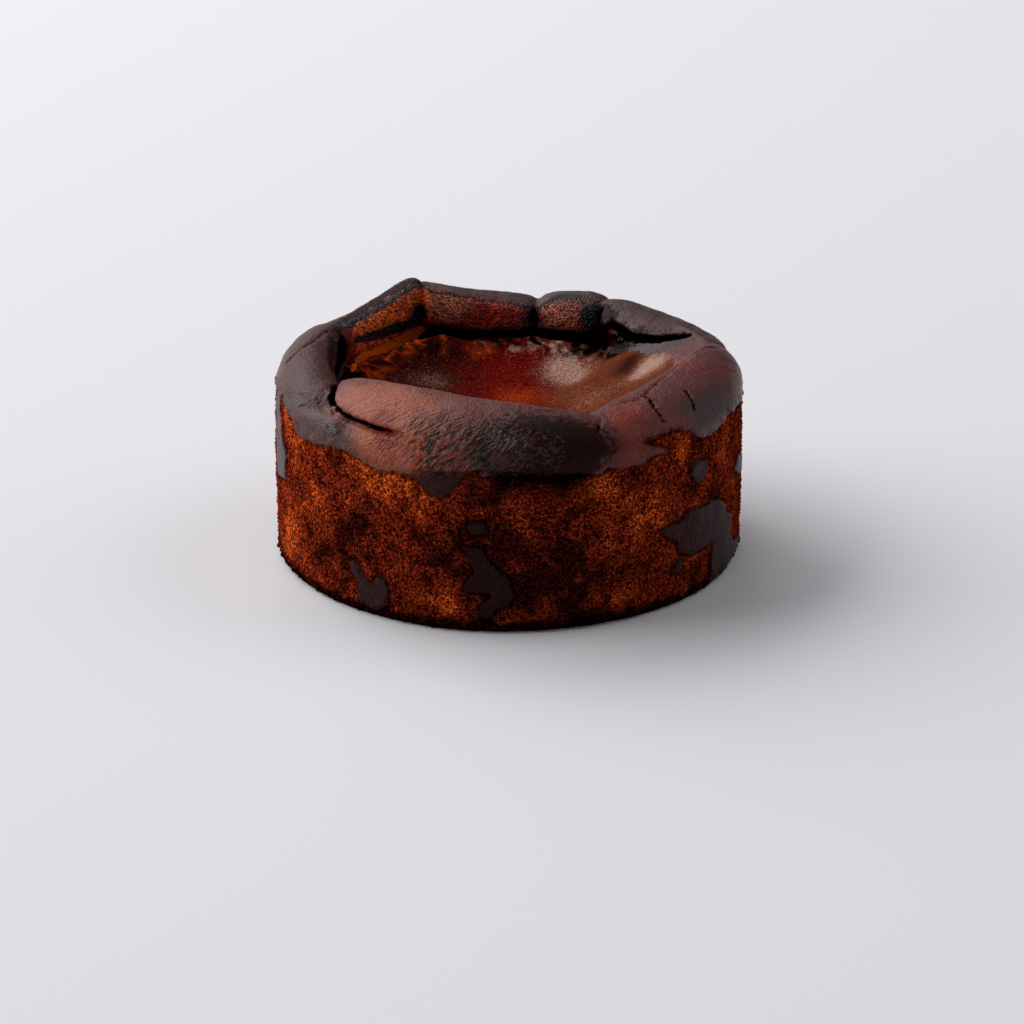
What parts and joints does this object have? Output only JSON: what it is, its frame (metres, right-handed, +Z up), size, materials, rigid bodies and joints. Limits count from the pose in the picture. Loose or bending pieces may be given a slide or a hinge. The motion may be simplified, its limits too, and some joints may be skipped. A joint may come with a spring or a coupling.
{
  "type": "basque cheesecake",
  "caption": "Whole burnt Basque cheesecake: straight crumb wall, sunken glossy middle and a dark crust folded over into fat rolls round the rim.",
  "frame": {"origin": "centre of the flat base, on the surface the cake stands on", "axes": "+Z up, -Y towards the side with the long front roll of crust, +X to the right of someone who looks at that side"},
  "size_m": [0.1528, 0.1522, 0.0706],
  "materials": {
    "burnt_cake": "dark baked crust, satin on the folded rolls and in the sunken middle, matt and porous on the crumb wall"
  },
  "bodies": {
    "root": {"cheesecake": "burnt_cake"}
  },
  "joints": []
}
